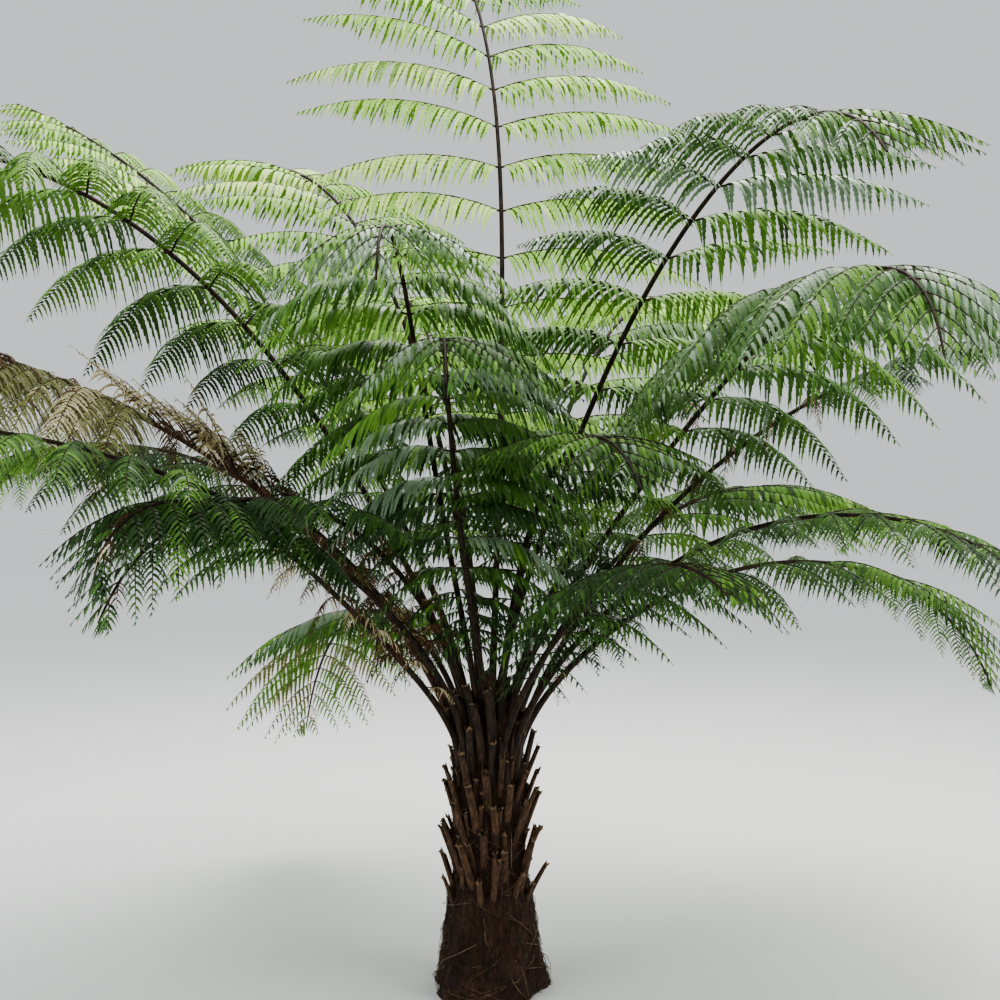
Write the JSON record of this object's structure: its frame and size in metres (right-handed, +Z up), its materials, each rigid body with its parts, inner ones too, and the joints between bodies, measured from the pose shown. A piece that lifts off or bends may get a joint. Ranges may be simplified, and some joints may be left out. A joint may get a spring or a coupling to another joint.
{
  "type": "tree fern",
  "caption": "Low tree fern with a fibrous trunk set with old stalk stubs and a wide crown of arching, finely divided fronds.",
  "frame": {"origin": "middle of the flat cut under the trunk, at ground level", "axes": "+Z up the trunk; +X to the right and -Y towards the viewer as the plant is pictured"},
  "size_m": [3.6894, 3.403, 3.6989],
  "materials": {
    "trunk": "matt, coarse dark brown root fibre with tan-brown stalk stubs",
    "frond_green": "satin green leaf, paler where it is thin, on a dark brown stalk",
    "frond_browned": "matt, withered tan and brown leaf"
  },
  "bodies": {
    "root": {"trunk": "trunk", "frond_back_left_low": "frond_green", "frond_back_left_low_tip": "frond_green", "frond_back_left_middle": "frond_green", "frond_back_left_middle_tip": "frond_green", "frond_back_left_tall": "frond_green", "frond_back_left_upper": "frond_green", "frond_back_middle": "frond_green", "frond_back_right_low": "frond_green", "frond_back_right_middle": "frond_green", "frond_back_right_upper": "frond_green", "frond_back_tall": "frond_green", "frond_front_left_low": "frond_green", "frond_front_left_middle": "frond_green", "frond_front_left_middle_tip": "frond_green", "frond_front_low": "frond_green", "frond_front_middle": "frond_green", "frond_front_middle_tip": "frond_green", "frond_front_right_low": "frond_green", "frond_front_right_low_tip": "frond_green", "frond_front_right_upper": "frond_green", "frond_front_right_upper_tip": "frond_green", "frond_front_tall": "frond_green", "frond_front_tall_tip": "frond_green", "frond_left_browned": "frond_browned", "frond_left_drooping": "frond_green", "frond_left_drooping_tip": "frond_green", "frond_left_tall": "frond_green", "frond_left_tall_tip": "frond_green", "frond_right_long": "frond_green", "frond_right_low": "frond_green", "frond_right_low_tip": "frond_green", "frond_right_middle": "frond_green", "frond_right_middle_tip": "frond_green", "frond_right_tall": "frond_green", "frond_right_tall_tip": "frond_green"}
  },
  "joints": []
}
